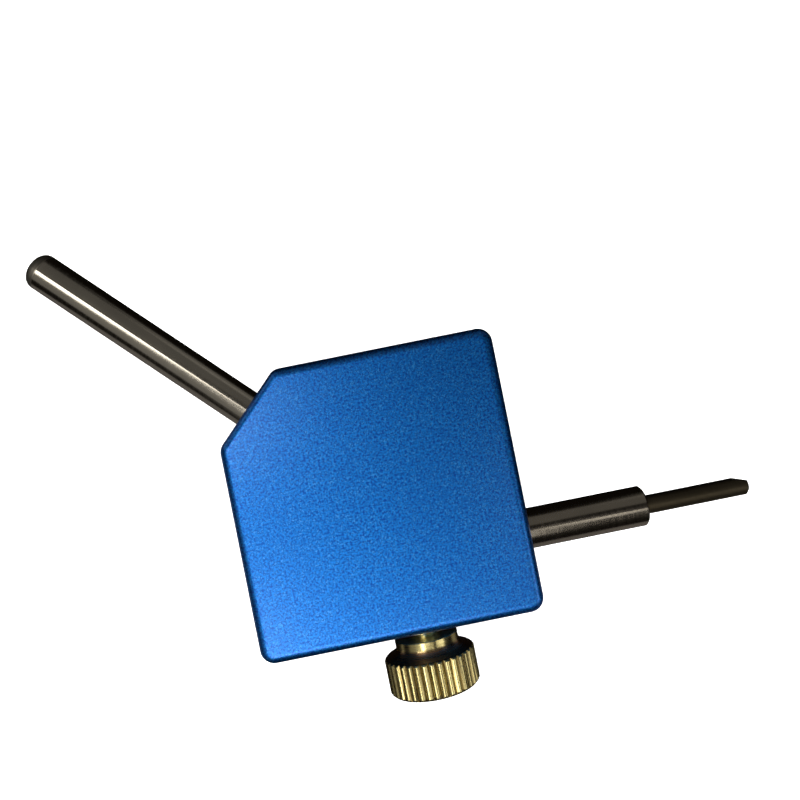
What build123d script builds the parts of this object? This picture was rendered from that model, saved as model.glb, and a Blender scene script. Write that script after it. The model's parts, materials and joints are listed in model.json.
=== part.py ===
from build123d import *
import os
from math import sqrt

# All lengths are in millimetres. The block lies on its back face, on Z = 0, and the origin is the
# centre of that face. +X points the way the stepped tool sticks out, and the thumb screw points to -Y.

# Block: a square plate with one corner cut off at 45 degrees
BLOCK_SIDE = 42.6
BLOCK_THICKNESS = 18.0
CORNER_CUT = 10.0
UPRIGHT_EDGE_RADIUS = 2.2
FACE_EDGE_RADIUS = 1.5
MOUTH_CHAMFER = 0.35
HALF_SIDE = BLOCK_SIDE / 2
MID_HEIGHT = BLOCK_THICKNESS / 2
CORNER_FACE = (BLOCK_SIDE - CORNER_CUT) / sqrt(2)

# Angled rod: square to the cut corner, with a shouldered seat inside the block
ROD_RADIUS = 3.0
ROD_OFFSET = 0.4
ROD_OUT = 41.6
ROD_END_RADIUS = 1.3
ROD_SEAT_RADIUS = 2.5
ROD_SEAT_END = -2.0
ROD_SEAT_CHAMFER = 0.5
ROD_FLAT_DEPTH = 0.3
ROD_FLAT_LENGTH = 21.5
ROD_FIT = 0.02
ROD_FLAT_HEIGHT = MID_HEIGHT - ROD_SEAT_RADIUS + ROD_FLAT_DEPTH

# Set screws: M4, in the back face, on the rod's flat
SET_SCREW_RADIUS = 2.0
SET_SCREW_LENGTH = 6.0
SET_SCREW_FIT = 0.02
SET_SCREW_CHAMFER = 0.4
SET_SCREW_STATIONS = (4.0, 15.0)
HEX_KEY_WIDTH = 2.0
HEX_SOCKET_DEPTH = 2.0

# Tool: a sleeve that slides in the block, with a thinner pin pressed into its front end
TOOL_AXIS_Y = -10.3
SLEEVE_RADIUS = 3.2
SLEEVE_BACK = -7.0
SLEEVE_FRONT = 40.8
SLEEVE_CHAMFER = 0.3
SLEEVE_FIT = 0.05
TOOL_BORE_END = -10.0
PIN_RADIUS = 1.5
PIN_FRONT = 57.4
PIN_CHAMFER = 0.35
PIN_BEVEL_LENGTH = 2.0
PIN_BEVEL_DEPTH = 0.7
PIN_SEAT_RADIUS = 1.2
PIN_SEAT_LENGTH = 14.0
PIN_SEAT_END = SLEEVE_FRONT - PIN_SEAT_LENGTH

# Thumb screw: M5, turned in one piece. Heights are counted outwards from the block's lower side
SCREW_AXIS_X = 3.1
THREAD_RADIUS = 2.5
THREAD_FIT = 0.05
THREAD_END_CHAMFER = 0.5
COLLAR_RADIUS = 5.0
COLLAR_START = 2.1
COLLAR_LENGTH = 1.3
HEAD_RADIUS = 7.2
HEAD_START = 4.8
HEAD_END = 10.4
HEAD_CHAMFER = 0.35
CONE_TOP_RADIUS = 6.9
END_DISH_RADIUS = 4.6
END_DISH_DEPTH = 0.25
KNURL_COUNT = 36
KNURL_DEPTH = 0.35

# Swivel pad: its front bears on the sleeve, and its socket holds the bead of the screw's nose
PAD_RADIUS = 2.0
PAD_LENGTH = 2.4
PAD_GAP = 0.05
PAD_CHAMFER = 0.25
PAD_FRONT = SLEEVE_RADIUS + PAD_GAP - TOOL_AXIS_Y - HALF_SIDE
PAD_BACK = PAD_FRONT + PAD_LENGTH
NOSE_LENGTH = 1.6
NOSE_END = PAD_BACK - NOSE_LENGTH
NOSE_NECK_RADIUS = 0.95
NOSE_BEAD_RADIUS = 1.15
NOSE_BEAD_LENGTH = 0.6
NOSE_FIT = 0.05
THREAD_START = PAD_BACK + PAD_GAP

# Lines of the turned pieces: on each, Z runs outwards from the block
ROD_LINE = Plane(
    origin=(-ROD_OFFSET / sqrt(2), -ROD_OFFSET / sqrt(2), MID_HEIGHT),
    x_dir=(0, 0, 1),
    z_dir=(-1, 1, 0),
).location
TOOL_LINE = Plane(origin=(0, TOOL_AXIS_Y, MID_HEIGHT), x_dir=(0, 0, 1), z_dir=(1, 0, 0)).location
SCREW_LINE = Plane(
    origin=(SCREW_AXIS_X, -HALF_SIDE, MID_HEIGHT), x_dir=(0, 0, 1), z_dir=(0, -1, 0)
).location


def turned(*outline):
    """A solid of revolution about Z, from the (radius, height) points of its outline."""
    corners = [(radius, 0, height) for radius, height in outline]
    return revolve(make_face(Polyline(*corners, close=True)), Axis.Z)


def drilling(radius, bottom, mouth, beyond):
    """What a drill takes out between bottom and mouth, with a chamfered mouth, and the air outside."""
    return turned(
        (0, bottom),
        (radius, bottom),
        (radius, mouth - MOUTH_CHAMFER),
        (radius + MOUTH_CHAMFER, mouth),
        (radius + MOUTH_CHAMFER, beyond),
        (0, beyond),
    )


def set_screw_lines():
    """Downward lines out of the back face, from the rod's axis, one for each set screw."""
    for station in SET_SCREW_STATIONS:
        spot = (ROD_LINE * Pos(0, 0, station)).position
        yield Plane(origin=spot, x_dir=(1, 0, 0), z_dir=(0, 0, -1)).location


def block_blank():
    """The block before drilling: cut corner, rounded upright edges, rounded face edges."""
    outline = make_face(
        Polyline(
            (-HALF_SIDE, -HALF_SIDE),
            (HALF_SIDE, -HALF_SIDE),
            (HALF_SIDE, HALF_SIDE),
            (-HALF_SIDE + CORNER_CUT, HALF_SIDE),
            (-HALF_SIDE, HALF_SIDE - CORNER_CUT),
            close=True,
        )
    )
    plate = extrude(fillet(outline.vertices(), UPRIGHT_EDGE_RADIUS), BLOCK_THICKNESS)
    faces = plate.faces().sort_by(Axis.Z)
    return fillet(faces[0].edges() + faces[-1].edges(), FACE_EDGE_RADIUS)


def clamp_block():
    """The block with its rod bore, tool bore, thumb screw hole and set screw holes."""
    beyond = BLOCK_SIDE
    rod_bore = drilling(ROD_SEAT_RADIUS + ROD_FIT, ROD_SEAT_END, CORNER_FACE, beyond)
    tool_bore = drilling(SLEEVE_RADIUS + SLEEVE_FIT, TOOL_BORE_END, HALF_SIDE, beyond)
    screw_hole = drilling(THREAD_RADIUS, -HALF_SIDE - TOOL_AXIS_Y, 0, beyond)
    block = block_blank() - ROD_LINE * rod_bore - TOOL_LINE * tool_bore - SCREW_LINE * screw_hole
    for line in set_screw_lines():
        block -= line * drilling(SET_SCREW_RADIUS + SET_SCREW_FIT, 0, MID_HEIGHT, beyond)
    return block


def angled_rod():
    """The fixed rod: rounded free end, shoulder on the cut corner, and a seat with a flat underneath."""
    rod = turned(
        (0, ROD_SEAT_END),
        (ROD_SEAT_RADIUS - ROD_SEAT_CHAMFER, ROD_SEAT_END),
        (ROD_SEAT_RADIUS, ROD_SEAT_END + ROD_SEAT_CHAMFER),
        (ROD_SEAT_RADIUS, CORNER_FACE),
        (ROD_RADIUS, CORNER_FACE),
        (ROD_RADIUS, CORNER_FACE + ROD_OUT),
        (0, CORNER_FACE + ROD_OUT),
    )
    free_end = rod.faces().sort_by(Axis.Z)[-1]
    rod = fillet(free_end.edges(), ROD_END_RADIUS)
    flat_middle = ROD_SEAT_END + ROD_FLAT_LENGTH / 2
    cutter = Box(ROD_RADIUS, 2 * ROD_RADIUS, ROD_FLAT_LENGTH)
    depth = ROD_FLAT_DEPTH - ROD_SEAT_RADIUS - ROD_RADIUS / 2
    return ROD_LINE * (rod - Pos(depth, 0, flat_middle) * cutter)


def set_screw():
    """One headless screw: flat point on the rod's flat, hexagon socket in its outer end."""
    point = MID_HEIGHT - ROD_FLAT_HEIGHT
    outer = point + SET_SCREW_LENGTH
    chamfered = SET_SCREW_RADIUS - SET_SCREW_CHAMFER
    body = turned(
        (0, point),
        (chamfered, point),
        (SET_SCREW_RADIUS, point + SET_SCREW_CHAMFER),
        (SET_SCREW_RADIUS, outer - SET_SCREW_CHAMFER),
        (chamfered, outer),
        (0, outer),
    )
    hexagon = RegularPolygon(HEX_KEY_WIDTH / 2, 6, major_radius=False)
    return body - Pos(0, 0, outer - HEX_SOCKET_DEPTH) * extrude(hexagon, HEX_SOCKET_DEPTH)


def rod_set_screws():
    """The two set screws that hold the rod."""
    return Compound([(line * set_screw()).solid() for line in set_screw_lines()])


def tool_sleeve():
    """The sliding shank: chamfered ends, and a blind seat for the pin in its front."""
    chamfered = SLEEVE_RADIUS - SLEEVE_CHAMFER
    sleeve = turned(
        (0, SLEEVE_BACK),
        (chamfered, SLEEVE_BACK),
        (SLEEVE_RADIUS, SLEEVE_BACK + SLEEVE_CHAMFER),
        (SLEEVE_RADIUS, SLEEVE_FRONT - SLEEVE_CHAMFER),
        (chamfered, SLEEVE_FRONT),
        (PIN_SEAT_RADIUS, SLEEVE_FRONT),
        (PIN_SEAT_RADIUS, PIN_SEAT_END),
        (0, PIN_SEAT_END),
    )
    return TOOL_LINE * sleeve


def tip_bevel():
    """What the bevel takes off the pin's tip, on the side that faces +Y."""
    outside = -2 * PIN_RADIUS
    outline = Polyline(
        (0, -PIN_RADIUS, PIN_FRONT - PIN_BEVEL_LENGTH),
        (0, PIN_BEVEL_DEPTH - PIN_RADIUS, PIN_FRONT),
        (0, outside, PIN_FRONT),
        (0, outside, PIN_FRONT - PIN_BEVEL_LENGTH),
        close=True,
    )
    return extrude(make_face(outline), PIN_RADIUS, both=True)


def tool_pin():
    """The working pin: a thinner seat pressed into the sleeve, a shoulder, and a bevelled tip."""
    pin = turned(
        (0, PIN_SEAT_END),
        (PIN_SEAT_RADIUS, PIN_SEAT_END),
        (PIN_SEAT_RADIUS, SLEEVE_FRONT),
        (PIN_RADIUS, SLEEVE_FRONT),
        (PIN_RADIUS, PIN_FRONT - PIN_CHAMFER),
        (PIN_RADIUS - PIN_CHAMFER, PIN_FRONT),
        (0, PIN_FRONT),
    )
    return TOOL_LINE * (pin - tip_bevel())


def knurl_groove():
    """A V groove along the head's rim, square at its bottom."""
    bottom = HEAD_RADIUS - KNURL_DEPTH
    beyond = HEAD_RADIUS + KNURL_DEPTH
    half_width = beyond - bottom
    outline = make_face(Polyline((bottom, 0), (beyond, half_width), (beyond, -half_width), close=True))
    return Pos(0, 0, COLLAR_START) * extrude(outline, HEAD_END)


def thumb_screw():
    """The clamping screw: nose, threaded shank, plain collar, cone and knurled head."""
    thread = THREAD_RADIUS - THREAD_FIT
    screw = turned(
        (0, NOSE_END),
        (NOSE_BEAD_RADIUS, NOSE_END),
        (NOSE_BEAD_RADIUS, NOSE_END + NOSE_BEAD_LENGTH),
        (NOSE_NECK_RADIUS, NOSE_END + NOSE_BEAD_LENGTH),
        (NOSE_NECK_RADIUS, THREAD_START),
        (thread - THREAD_END_CHAMFER, THREAD_START),
        (thread, THREAD_START + THREAD_END_CHAMFER),
        (thread, COLLAR_START),
        (COLLAR_RADIUS, COLLAR_START),
        (COLLAR_RADIUS, COLLAR_START + COLLAR_LENGTH),
        (CONE_TOP_RADIUS, HEAD_START),
        (HEAD_RADIUS, HEAD_START + HEAD_RADIUS - CONE_TOP_RADIUS),
        (HEAD_RADIUS, HEAD_END - HEAD_CHAMFER),
        (HEAD_RADIUS - HEAD_CHAMFER, HEAD_END),
        (END_DISH_RADIUS, HEAD_END),
        (END_DISH_RADIUS - END_DISH_DEPTH, HEAD_END - END_DISH_DEPTH),
        (0, HEAD_END - END_DISH_DEPTH),
    )
    groove = knurl_groove()
    grooves = [Rot(0, 0, 360 * turn / KNURL_COUNT) * groove for turn in range(KNURL_COUNT)]
    return SCREW_LINE * (screw - grooves)


def swivel_pad():
    """The pad on the screw's nose: a lip round its socket keeps the bead of the nose inside."""
    lip_start = NOSE_END + NOSE_BEAD_LENGTH + NOSE_FIT
    pad = turned(
        (0, PAD_FRONT),
        (PAD_RADIUS - PAD_CHAMFER, PAD_FRONT),
        (PAD_RADIUS, PAD_FRONT + PAD_CHAMFER),
        (PAD_RADIUS, PAD_BACK),
        (NOSE_NECK_RADIUS + NOSE_FIT, PAD_BACK),
        (NOSE_NECK_RADIUS + NOSE_FIT, lip_start),
        (NOSE_BEAD_RADIUS + NOSE_FIT, lip_start),
        (NOSE_BEAD_RADIUS + NOSE_FIT, NOSE_END),
        (0, NOSE_END),
    )
    return SCREW_LINE * pad


NODES = {
    "clamp_block": clamp_block,
    "angled_rod": angled_rod,
    "rod_set_screws": rod_set_screws,
    "tool_sleeve": tool_sleeve,
    "tool_pin": tool_pin,
    "thumb_screw": thumb_screw,
    "swivel_pad": swivel_pad,
}

os.makedirs("parts", exist_ok=True)
for node, build in NODES.items():
    export_step(build(), f"parts/{node}.step")
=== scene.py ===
import json
from math import atan2, cos, pi, radians, sin, sqrt

import bpy
from mathutils import Matrix, Vector


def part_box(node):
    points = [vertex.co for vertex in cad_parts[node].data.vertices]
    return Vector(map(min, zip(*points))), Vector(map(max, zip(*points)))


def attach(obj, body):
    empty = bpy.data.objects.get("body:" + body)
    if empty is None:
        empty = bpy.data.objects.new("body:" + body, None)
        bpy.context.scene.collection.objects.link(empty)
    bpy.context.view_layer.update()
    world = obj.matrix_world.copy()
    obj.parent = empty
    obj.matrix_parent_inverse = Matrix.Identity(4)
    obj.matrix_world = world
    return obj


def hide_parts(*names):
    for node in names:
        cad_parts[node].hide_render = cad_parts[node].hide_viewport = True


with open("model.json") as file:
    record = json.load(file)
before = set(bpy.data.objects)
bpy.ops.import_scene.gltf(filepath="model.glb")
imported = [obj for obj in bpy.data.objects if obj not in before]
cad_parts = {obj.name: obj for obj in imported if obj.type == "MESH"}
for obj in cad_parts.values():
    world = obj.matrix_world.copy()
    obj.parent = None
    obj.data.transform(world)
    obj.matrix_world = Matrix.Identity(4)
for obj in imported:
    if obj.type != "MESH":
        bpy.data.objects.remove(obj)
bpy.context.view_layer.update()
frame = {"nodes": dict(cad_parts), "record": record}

MM = 0.001

# From the frame: where the CAD parts and their joints and mounts lie, in metres
BLOCK_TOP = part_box("clamp_block")[1].z
SCREW_LOW, SCREW_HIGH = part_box("thumb_screw")
JOINTS = {joint["name"]: joint for joint in frame["record"]["behaviour"]["joints"]}
MOUNTS = {mount["name"]: mount for mount in frame["record"]["mounts"]}
SCREW_ORIGIN = Vector(JOINTS["screw_turn"]["pos_m"])
ROD_DIRECTION = Vector(MOUNTS["rod_shank"]["axis"])
ROD_MIDDLE = Vector(MOUNTS["rod_shank"]["pos_m"])
ROD_LENGTH = MOUNTS["rod_shank"]["dims"]["length_mm"] * MM
ROD_ANGLE = atan2(ROD_DIRECTION.y, ROD_DIRECTION.x)

# Camera: looks straight down on the block's front face, turned so that the block lies askew
VIEW_DISTANCE = 101.9 * MM
VIEW_POINT = (3.55 * MM, 7.1 * MM)
VIEW_ROLL = radians(11.35)
LENS = 31.5
SENSOR = 36.0
SHIFT = (0.0121, 0.0549)

# Thumb screw, in millimetres. Heights are counted outwards from the block's lower side
TIP = (SCREW_ORIGIN.y - SCREW_HIGH.y) / MM
END = (SCREW_ORIGIN.y - SCREW_LOW.y) / MM
HEAD_RADIUS = (SCREW_HIGH.z - SCREW_LOW.z) / MM / 2
BEAD_RADIUS = 1.15
BEAD_LENGTH = 0.6
BEAD_CHAMFER = 0.1
NECK_RADIUS = 0.95
NECK_END = TIP + 1.65
THREAD_RADIUS = 2.45
THREAD_RUNOUT = 0.5
THREAD_PITCH = 0.8
THREAD_DEPTH = 0.45
THREAD_ROWS = 10
THREAD_CREST_SHARE = 0.14
THREAD_FLANK_SHARE = 0.6
THREAD_FADE_IN = 0.3
THREAD_FADE_OUT = 0.1
RELIEF_RADIUS = 2.0
RELIEF_LENGTH = 0.35
RELIEF_TAPER = 0.1
COLLAR_START = 2.1
COLLAR_RADIUS = 5.0
COLLAR_CHAMFER = 0.12
COVE_START = 3.2
COVE_END = 4.75
COVE_ANGLE = radians(72)
COVE_STEPS = 9
RIM_RADIUS = 6.82
RIM_LIP_LENGTH = 0.1
RIM_LIP_RISE = 0.12
KNURL_START = 5.05
KNURL_COUNT = 36
KNURL_SAMPLES = 12
KNURL_DEPTH = 0.36
KNURL_GROOVE_SHARE = 0.66
KNURL_SOFTNESS = 0.16
END_CHAMFER = 0.4
DISH_RADIUS = 4.6
DISH_DEPTH = 0.25
SHARP_ANGLE = radians(27)

# Materials
NOISE_RANGE = (0.3, 0.7)
DULL_LENGTH = 0.6 * MM
DULL_BLEND = 0.3 * MM
ROD_DULL_END = ROD_DIRECTION.dot(ROD_MIDDLE) + ROD_LENGTH / 2 - DULL_LENGTH
COVE_BLEND = 0.5 * MM
TINT_EDGE = 0.1 * MM

# Stage
FLOOR_RADIUS = 1.6
FLOOR_RINGS = (0.05, 0.3, 0.6)
WALL_BEND = 0.8
WALL_HEIGHT = 2.4
BOWL_SIDES = 96
BEND_STEPS = 12
BACKDROP_COLOUR = (0.9, 0.9, 0.9)
BACKDROP_GLOW = 0.93
ROOM_COLOUR = (0.005, 0.0038, 0.0025)
CARD_COLOUR = (0.17, 0.16, 0.15)
CARD_DROP = MM
ROD_CARD = (-0.075, -0.012)
ROD_CARD_SIZE = (0.08, 0.12)
TOOL_CARD = (0.048, -0.07)
TOOL_CARD_SIZE = (0.05, 0.1)

# Lights. Each outer panel has a name, a centre and a radiance
LIGHT_HEIGHT = 1.0
LIGHT_COLOUR = (1, 0.97, 0.9)
OUTER_PANEL_SIZE = (2.4, 1.8)
OUTER_PANELS = (
    ("wall_rod_side", (-3.0, 2.6), 0.6),
    ("wall_tool_side", (3.0, -2.6), 0.15),
    ("wall_back", (2.4, 3.0), 0.14),
    ("wall_front", (-2.4, -3.0), 0.1),
)


def link(obj):
    bpy.context.scene.collection.objects.link(obj)
    return obj


def mesh_object(name, points, faces):
    mesh = bpy.data.meshes.new(name)
    mesh.from_pydata(points, [], faces)
    mesh.update()
    mesh.shade_smooth()
    return link(bpy.data.objects.new(name, mesh))


# ---------------------------------------------------------------- materials


def shade(colour, share):
    """A colour times a share."""
    return tuple(share * part for part in colour)


class Surface:
    """A material, with short calls for the nodes that the surfaces share."""

    def __init__(self, name):
        self.material = bpy.data.materials.new(name)
        self.material.use_nodes = True
        self.tree = self.material.node_tree
        self.shader = self.tree.nodes["Principled BSDF"]

    def add(self, kind, **values):
        node = self.tree.nodes.new(kind)
        for key, value in values.items():
            setattr(node, key, value)
        return node

    def plug(self, value, socket):
        """Links a node's output to a socket, or sets the socket to a number or colour."""
        if isinstance(value, bpy.types.NodeSocket):
            self.tree.links.new(value, socket)
        else:
            socket.default_value = value

    def place(self, scale=(1, 1, 1), turn=0):
        """The piece's own coordinates, turned about Z and scaled."""
        mapping = self.add("ShaderNodeMapping", vector_type="TEXTURE")
        mapping.inputs["Rotation"].default_value = (0, 0, turn)
        stretch = self.add("ShaderNodeVectorMath", operation="MULTIPLY")
        stretch.inputs[1].default_value = scale
        self.plug(self.add("ShaderNodeTexCoord").outputs["Object"], mapping.inputs["Vector"])
        self.plug(mapping.outputs["Vector"], stretch.inputs[0])
        return stretch.outputs["Vector"]

    def noise(self, vector, scale=1.0, detail=2.0, roughness=0.5):
        node = self.add("ShaderNodeTexNoise")
        node.inputs["Scale"].default_value = scale
        node.inputs["Detail"].default_value = detail
        node.inputs["Roughness"].default_value = roughness
        self.plug(vector, node.inputs["Vector"])
        return node.outputs["Fac"]

    def spread(self, value, low, high, to_low=0.0, to_high=1.0):
        """A value from low..high, stretched to to_low..to_high and held there."""
        node = self.add("ShaderNodeMapRange")
        ends = {"From Min": low, "From Max": high, "To Min": to_low, "To Max": to_high}
        for key, number in ends.items():
            node.inputs[key].default_value = number
        self.plug(value, node.inputs["Value"])
        return node.outputs["Result"]

    def grade(self, noise, to_low=0.0, to_high=1.0):
        """A noise's usual range, stretched to to_low..to_high."""
        return self.spread(noise, *NOISE_RANGE, to_low, to_high)

    def blend(self, factor, first, second):
        """A colour between two colours or outputs."""
        node = self.add("ShaderNodeMix", data_type="RGBA")
        self.plug(factor, node.inputs[0])
        for socket, colour in ((node.inputs[6], first), (node.inputs[7], second)):
            self.plug((*colour, 1) if isinstance(colour, tuple) else colour, socket)
        return node.outputs[2]

    def mix(self, factor, first, second):
        """A number between two numbers or outputs."""
        node = self.add("ShaderNodeMix")
        for place, value in ((0, factor), (2, first), (3, second)):
            self.plug(value, node.inputs[place])
        return node.outputs[0]

    def bump(self, height, strength, distance, under=None):
        node = self.add("ShaderNodeBump")
        node.inputs["Strength"].default_value = strength
        node.inputs["Distance"].default_value = distance
        self.plug(height, node.inputs["Height"])
        if under:
            self.plug(under, node.inputs["Normal"])
        return node.outputs["Normal"]

    def finish(self, **values):
        """Sets the shader's sockets, named with _ for a space, and gives the material."""
        for key, value in values.items():
            self.plug(value, self.shader.inputs[key.replace("_", " ")])
        return self.material


def blue_anodised():
    """Bead-blasted, dyed aluminium: satin blue with a fine sparkle, under a clear oxide layer."""
    s = Surface("blue_anodised_blasted")
    place = s.place()
    beads = s.noise(place, 3000, 2.0, 0.6)
    fine = s.noise(place, 7000, 1.0)
    clouds = s.noise(place, 70, 3.0)
    dots = s.noise(place, 5200, 0.0)
    dye = s.blend(s.spread(beads, 0.38, 0.62), (0.001, 0.085, 0.55), (0.014, 0.31, 1.0))
    clouded = s.blend(s.grade(clouds, 0.0, 0.3), dye, (0.005, 0.17, 0.72))
    sparkle = s.blend(s.spread(dots, 0.62, 0.8), clouded, (0.06, 0.40, 1.0))
    normal = s.bump(beads, 0.3, 0.02 * MM)
    normal = s.bump(fine, 0.2, 0.008 * MM, normal)
    return s.finish(
        Base_Color=sparkle,
        Metallic=1.0,
        Roughness=s.grade(fine, 0.37, 0.45),
        Coat_Weight=0.6,
        Coat_Roughness=0.24,
        Normal=normal,
    )


def turned_steel(name, angle, tint, roughness, rings, dull_end=None):
    """Ground steel on a shaft at an angle to +X: fine rings round it, and faint scratches along it.

    Past dull_end, a distance along the shaft in metres, the steel is darker and matt.
    """
    s = Surface(name)
    grinding = s.noise(s.place((4200, 40, 40), angle), 1, 3.0, 0.6)
    scratches = s.noise(s.place((70, 2600, 2600), angle), 1, 2.0, 0.5)
    clouds = s.noise(s.place((90, 260, 260), angle), 1, 3.0)
    colour = s.blend(s.grade(clouds), shade(tint, 0.82), tint)
    gloss = s.grade(grinding, 0.85 * roughness, 1.2 * roughness)
    if dull_end:
        split = s.add("ShaderNodeSeparateXYZ")
        s.plug(s.place(turn=angle), split.inputs[0])
        dull = s.spread(split.outputs["X"], dull_end, dull_end + DULL_BLEND)
        colour = s.blend(dull, colour, shade(tint, 0.35))
        gloss = s.mix(dull, gloss, 2.6 * roughness)
    return s.finish(
        Base_Color=colour,
        Metallic=1.0,
        Roughness=gloss,
        Normal=s.bump(scratches, 0.05, 0.002 * MM, s.bump(grinding, rings, 0.003 * MM)),
    )


def black_oxide():
    """Blackened steel of the set screws."""
    s = Surface("black_oxide_steel")
    grain = s.noise(s.place(), 3000, 3.0)
    return s.finish(
        Base_Color=s.blend(s.grade(grain), (0.02, 0.02, 0.022), (0.055, 0.052, 0.05)),
        Metallic=1.0,
        Roughness=s.grade(grain, 0.3, 0.5),
        Normal=s.bump(grain, 0.2, 0.01 * MM),
    )


def nylon():
    """Moulded natural nylon of the swivel pad."""
    s = Surface("natural_nylon")
    grain = s.noise(s.place(), 1800, 2.0)
    return s.finish(
        Base_Color=s.blend(s.grade(grain), (0.62, 0.6, 0.54), (0.76, 0.74, 0.68)),
        Roughness=s.grade(grain, 0.4, 0.55),
        Normal=s.bump(grain, 0.1, 0.01 * MM),
    )


def brass():
    """Turned brass: lathe rings that draw highlights out along the axis; a darker brown cove; painted
    shade in the knurl's grooves.
    """
    s = Surface("turned_brass")
    rings = s.noise(s.place((60, 6000, 60)), 1, 2.0, 0.6)
    grain = s.noise(s.place(), 2400, 3.0, 0.6)
    split = s.add("ShaderNodeSeparateXYZ")
    s.plug(s.add("ShaderNodeTexCoord").outputs["Object"], split.inputs[0])
    spot = s.add("ShaderNodeCombineXYZ")
    s.plug(split.outputs["X"], spot.inputs["X"])
    s.plug(split.outputs["Z"], spot.inputs["Z"])
    away = s.add("ShaderNodeVectorMath", operation="DISTANCE")
    s.plug(spot.outputs[0], away.inputs[0])
    away.inputs[1].default_value = (SCREW_ORIGIN.x, 0, SCREW_ORIGIN.z)
    radius = away.outputs["Value"]
    bottom = (HEAD_RADIUS - KNURL_DEPTH) * MM
    # Painted shade: the knurl's colour turns dark brown towards the bottoms of its grooves.
    crest = s.spread(radius, bottom, bottom + 0.8 * KNURL_DEPTH * MM)
    knurled = s.spread(radius, bottom - TINT_EDGE, bottom)
    # The cove between the collar and the head's rim is coloured a darker brown.
    start = SCREW_ORIGIN.y - COVE_START * MM
    stop = SCREW_ORIGIN.y - KNURL_START * MM
    past_collar = s.spread(split.outputs["Y"], start - COVE_BLEND, start, 1.0, 0.0)
    in_cove = s.mix(s.spread(split.outputs["Y"], stop - TINT_EDGE, stop), 0.0, past_collar)
    bright = s.blend(s.grade(grain), (0.88, 0.73, 0.31), (1.0, 0.88, 0.44))
    turned = s.blend(in_cove, bright, (0.5, 0.28, 0.14))
    groove_shade = s.blend(crest, (0.14, 0.085, 0.02), bright)
    turned_gloss = s.grade(rings, 0.24, 0.32)
    knurled_gloss = s.grade(grain, 0.24, 0.34)
    return s.finish(
        Base_Color=s.blend(knurled, turned, groove_shade),
        Metallic=1.0,
        Roughness=s.mix(knurled, turned_gloss, knurled_gloss),
        Anisotropic=0.85,
        Anisotropic_Rotation=0.25,
        Tangent=s.add("ShaderNodeTangent", direction_type="RADIAL", axis="Y").outputs["Tangent"],
        Normal=s.bump(grain, 0.08, 0.01 * MM, s.bump(rings, 0.12, 0.006 * MM)),
    )


# ---------------------------------------------------------------- thumb screw


def cove():
    """The hollow curve from the collar out to the head's rim, as (height, radius) corners."""
    length = (COVE_END - COVE_START) / sin(COVE_ANGLE)
    rise = (RIM_RADIUS - COLLAR_RADIUS) / (1 - cos(COVE_ANGLE))
    angles = [COVE_ANGLE * step / COVE_STEPS for step in range(COVE_STEPS + 1)]
    return [(COVE_START + length * sin(a), COLLAR_RADIUS + rise * (1 - cos(a))) for a in angles]


def screw_outline():
    """The screw's turned outline, as (height, radius) corners in millimetres."""
    return [
        (TIP, BEAD_RADIUS - BEAD_CHAMFER),
        (TIP + BEAD_CHAMFER, BEAD_RADIUS),
        (TIP + BEAD_LENGTH, BEAD_RADIUS),
        (TIP + BEAD_LENGTH, NECK_RADIUS),
        (NECK_END, NECK_RADIUS),
        (NECK_END, THREAD_RADIUS - THREAD_RUNOUT),
        (NECK_END + THREAD_RUNOUT, THREAD_RADIUS),
        (COLLAR_START - RELIEF_LENGTH, THREAD_RADIUS),
        (COLLAR_START - RELIEF_LENGTH + RELIEF_TAPER, RELIEF_RADIUS),
        (COLLAR_START, RELIEF_RADIUS),
        (COLLAR_START, COLLAR_RADIUS - COLLAR_CHAMFER),
        (COLLAR_START + COLLAR_CHAMFER, COLLAR_RADIUS),
        *cove(),
        (COVE_END + RIM_LIP_LENGTH, RIM_RADIUS + RIM_LIP_RISE),
        (KNURL_START, HEAD_RADIUS),
        (END - END_CHAMFER, HEAD_RADIUS),
        (END, HEAD_RADIUS - END_CHAMFER),
        (END, DISH_RADIUS),
        (END - DISH_DEPTH, DISH_RADIUS - DISH_DEPTH),
    ]


def outline_rows(outline):
    """The outline's corners, with close rows along the thread."""
    rows = [outline[0]]
    for (low, low_radius), (high, high_radius) in zip(outline, outline[1:]):
        threaded = low_radius == high_radius == THREAD_RADIUS
        count = round((high - low) / THREAD_PITCH * THREAD_ROWS) if threaded else 1
        for step in range(1, count + 1):
            share = step / count
            rows.append((low + share * (high - low), low_radius + share * (high_radius - low_radius)))
    return rows


def thread_cut(height, angle):
    """How deep the thread is cut at a height and angle, fading out at both ends."""
    phase = (height / THREAD_PITCH - angle / (2 * pi)) % 1
    flank = 2 * min(phase, 1 - phase)
    cut = min(1.0, max(0.0, (flank - THREAD_CREST_SHARE) / THREAD_FLANK_SHARE))
    start = NECK_END + THREAD_RUNOUT
    stop = COLLAR_START - RELIEF_LENGTH
    fade = min(1.0, (height - start) / THREAD_FADE_IN, (stop - height) / THREAD_FADE_OUT)
    return THREAD_DEPTH * cut * max(0.0, fade)


def knurl_cut(angle):
    """How deep the knurl is cut at an angle: V grooves between rounded crests."""
    phase = (angle / (2 * pi) * KNURL_COUNT) % 1
    ramp = 1 - 2 * abs(phase - 0.5) / KNURL_GROOVE_SHARE
    return KNURL_DEPTH * (ramp + sqrt(ramp * ramp + KNURL_SOFTNESS ** 2)) / 2


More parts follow.
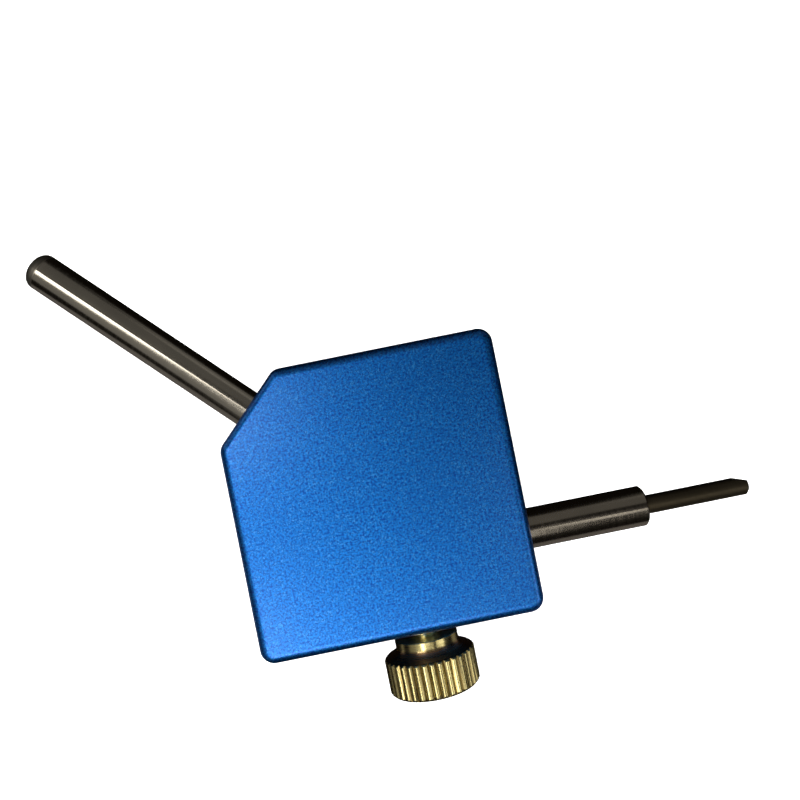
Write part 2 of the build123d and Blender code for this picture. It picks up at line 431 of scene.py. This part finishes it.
def thumb_screw():
    """The brass screw as one closed mesh: nose, cut thread, collar, cove and knurled head."""
    rows = outline_rows(screw_outline())
    around = KNURL_COUNT * KNURL_SAMPLES
    points = []
    for height, radius in rows:
        for step in range(around):
            angle = 2 * pi * step / around
            r = min(radius, HEAD_RADIUS - knurl_cut(angle))
            if radius == THREAD_RADIUS:
                r -= thread_cut(height, angle)
            points.append((r * sin(angle), -height, r * cos(angle)))
    faces = []
    for row in range(len(rows) - 1):
        for step in range(around):
            a = row * around + step
            b = row * around + (step + 1) % around
            faces.append((a, b, b + around, a + around))
    last = (len(rows) - 1) * around
    tip, end = len(points), len(points) + 1
    points += [(0, -rows[0][0], 0), (0, -rows[-1][0], 0)]
    for step in range(around):
        after = (step + 1) % around
        faces.append((tip, after, step))
        faces.append((end, last + step, last + after))
    places = [SCREW_ORIGIN + MM * Vector(point) for point in points]
    screw = mesh_object("thumb_screw_turned", places, faces)
    screw.data.set_sharp_from_angle(angle=SHARP_ANGLE)
    return screw


# ---------------------------------------------------------------- stage, lights and camera


def stage_surface(name, colour, glow):
    s = Surface(name)
    s.shader.inputs["Specular IOR Level"].default_value = 0.0
    return s.finish(
        Base_Color=(*colour, 1), Roughness=1.0, Emission_Color=(1, 1, 1, 1), Emission_Strength=glow
    )


def backdrop():
    """A pale bowl: a flat floor that curves up into a wall. The metal doesn't reflect it."""
    around = BOWL_SIDES
    angles = [pi / 2 * step / BEND_STEPS for step in range(BEND_STEPS + 1)]
    profile = [(FLOOR_RADIUS * share, 0) for share in FLOOR_RINGS]
    profile += [(FLOOR_RADIUS + WALL_BEND * sin(a), WALL_BEND * (1 - cos(a))) for a in angles]
    profile.append((FLOOR_RADIUS + WALL_BEND, WALL_HEIGHT))
    turns = [2 * pi * step / around for step in range(around)]
    points = [(r * cos(turn), r * sin(turn), z) for r, z in profile for turn in turns]
    faces = [tuple(range(around))]
    for row in range(len(profile) - 1):
        for step in range(around):
            a = row * around + step
            b = row * around + (step + 1) % around
            faces.append((a, a + around, b + around, b))
    bowl = mesh_object("backdrop", points, faces)
    bowl.data.materials.append(stage_surface("pale_backdrop", BACKDROP_COLOUR, BACKDROP_GLOW))
    bowl.visible_glossy = False


def floor_card(name, centre, size, turn):
    """A grey card just under the floor, beside a shaft.

    The floor's glow lights it, and only the metal's reflections show it.
    """
    half = Vector(size) / 2
    signs = ((-1, -1), (1, -1), (1, 1), (-1, 1))
    corners = [Vector((x * half.x, y * half.y, -CARD_DROP)) for x, y in signs]
    place = Matrix.Translation((*centre, 0)) @ Matrix.Rotation(turn, 4, "Z")
    card = mesh_object(name, [place @ corner for corner in corners], [(0, 1, 2, 3)])
    card.data.materials.append(stage_surface("grey_card", CARD_COLOUR, 0.0))
    card.visible_camera = False
    card.visible_diffuse = False
    card.visible_shadow = False


def panel(name, centre, size, radiance, long_side=(1, 0, 0)):
    """A flat light above the object, facing it, with its long side along a direction."""
    lamp = bpy.data.lights.new(name, "AREA")
    lamp.shape = "RECTANGLE"
    lamp.size, lamp.size_y = size
    lamp.energy = radiance * pi * size[0] * size[1]
    lamp.color = LIGHT_COLOUR
    light = link(bpy.data.objects.new(name, lamp))
    back = Vector((*centre, LIGHT_HEIGHT)).normalized()
    right = Vector(long_side)
    right = (right - right.dot(back) * back).normalized()
    turn = Matrix((right, back.cross(right), back)).transposed()
    light.matrix_world = Matrix.Translation((*centre, LIGHT_HEIGHT)) @ turn.to_4x4()
    light.visible_camera = False


def lights():
    """Two bright tubes on the left, weaker lights right and below, dim panels around, a dark room."""
    panel("tube_near", (-0.47, 0.175), (0.6, 0.18), 5.2, (1, -0.36, 0))
    panel("tube_low", (-0.33, -0.5), (0.62, 0.2), 6.5, (0, 1, 0))
    panel("tube_far", (0.28, -0.22), (0.36, 0.11), 1.3, (0.4, -0.92, 0))
    panel("low_middle", (-0.02, -0.62), (0.38, 0.6), 1.8)
    panel("low_right", (1.1, -0.6), (0.8, 0.65), 1.7)
    panel("ceiling_left", (-0.9, -0.33), (1.4, 1.12), 0.19, (-1, 1, 0))
    panel("ceiling_right", (0.1, 1.0), (1.6, 1.3), 0.11)
    for name, centre, radiance in OUTER_PANELS:
        panel(name, centre, OUTER_PANEL_SIZE, radiance)
    world = bpy.data.worlds.new("room")
    world.use_nodes = True
    world.node_tree.nodes["Background"].inputs["Color"].default_value = (*ROOM_COLOUR, 1)
    bpy.context.scene.world = world


def camera():
    """The camera at the photograph's viewing angle."""
    data = bpy.data.cameras.new("camera")
    data.lens = LENS
    data.sensor_width = SENSOR
    data.shift_x, data.shift_y = SHIFT
    data.clip_start = MM
    eye = link(bpy.data.objects.new("camera", data))
    eye.location = (*VIEW_POINT, BLOCK_TOP + VIEW_DISTANCE)
    eye.rotation_euler = (0, 0, -VIEW_ROLL)
    bpy.context.scene.camera = eye


# ---------------------------------------------------------------- the scene

CARRIED = {
    "clamp_block": blue_anodised(),
    "angled_rod": turned_steel("ground_rod_steel", ROD_ANGLE, (0.56, 0.52, 0.45), 0.2, 0.06, ROD_DULL_END),
    "tool_sleeve": turned_steel("polished_sleeve_steel", 0, (0.50, 0.45, 0.38), 0.2, 0.06),
    "tool_pin": turned_steel("satin_pin_steel", 0, (0.09, 0.075, 0.05), 0.5, 0.3),
    "rod_set_screws": black_oxide(),
    "swivel_pad": nylon(),
}
for node, material in CARRIED.items():
    for slot in frame["nodes"][node].material_slots:
        slot.material = material

screw = thumb_screw()
screw.data.materials.append(brass())
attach(screw, "screw")
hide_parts("thumb_screw")

backdrop()
floor_card("rod_card", ROD_CARD, ROD_CARD_SIZE, ROD_ANGLE)
floor_card("tool_card", TOOL_CARD, TOOL_CARD_SIZE, 0)
lights()
camera()
bpy.context.scene.view_settings.view_transform = "Standard"
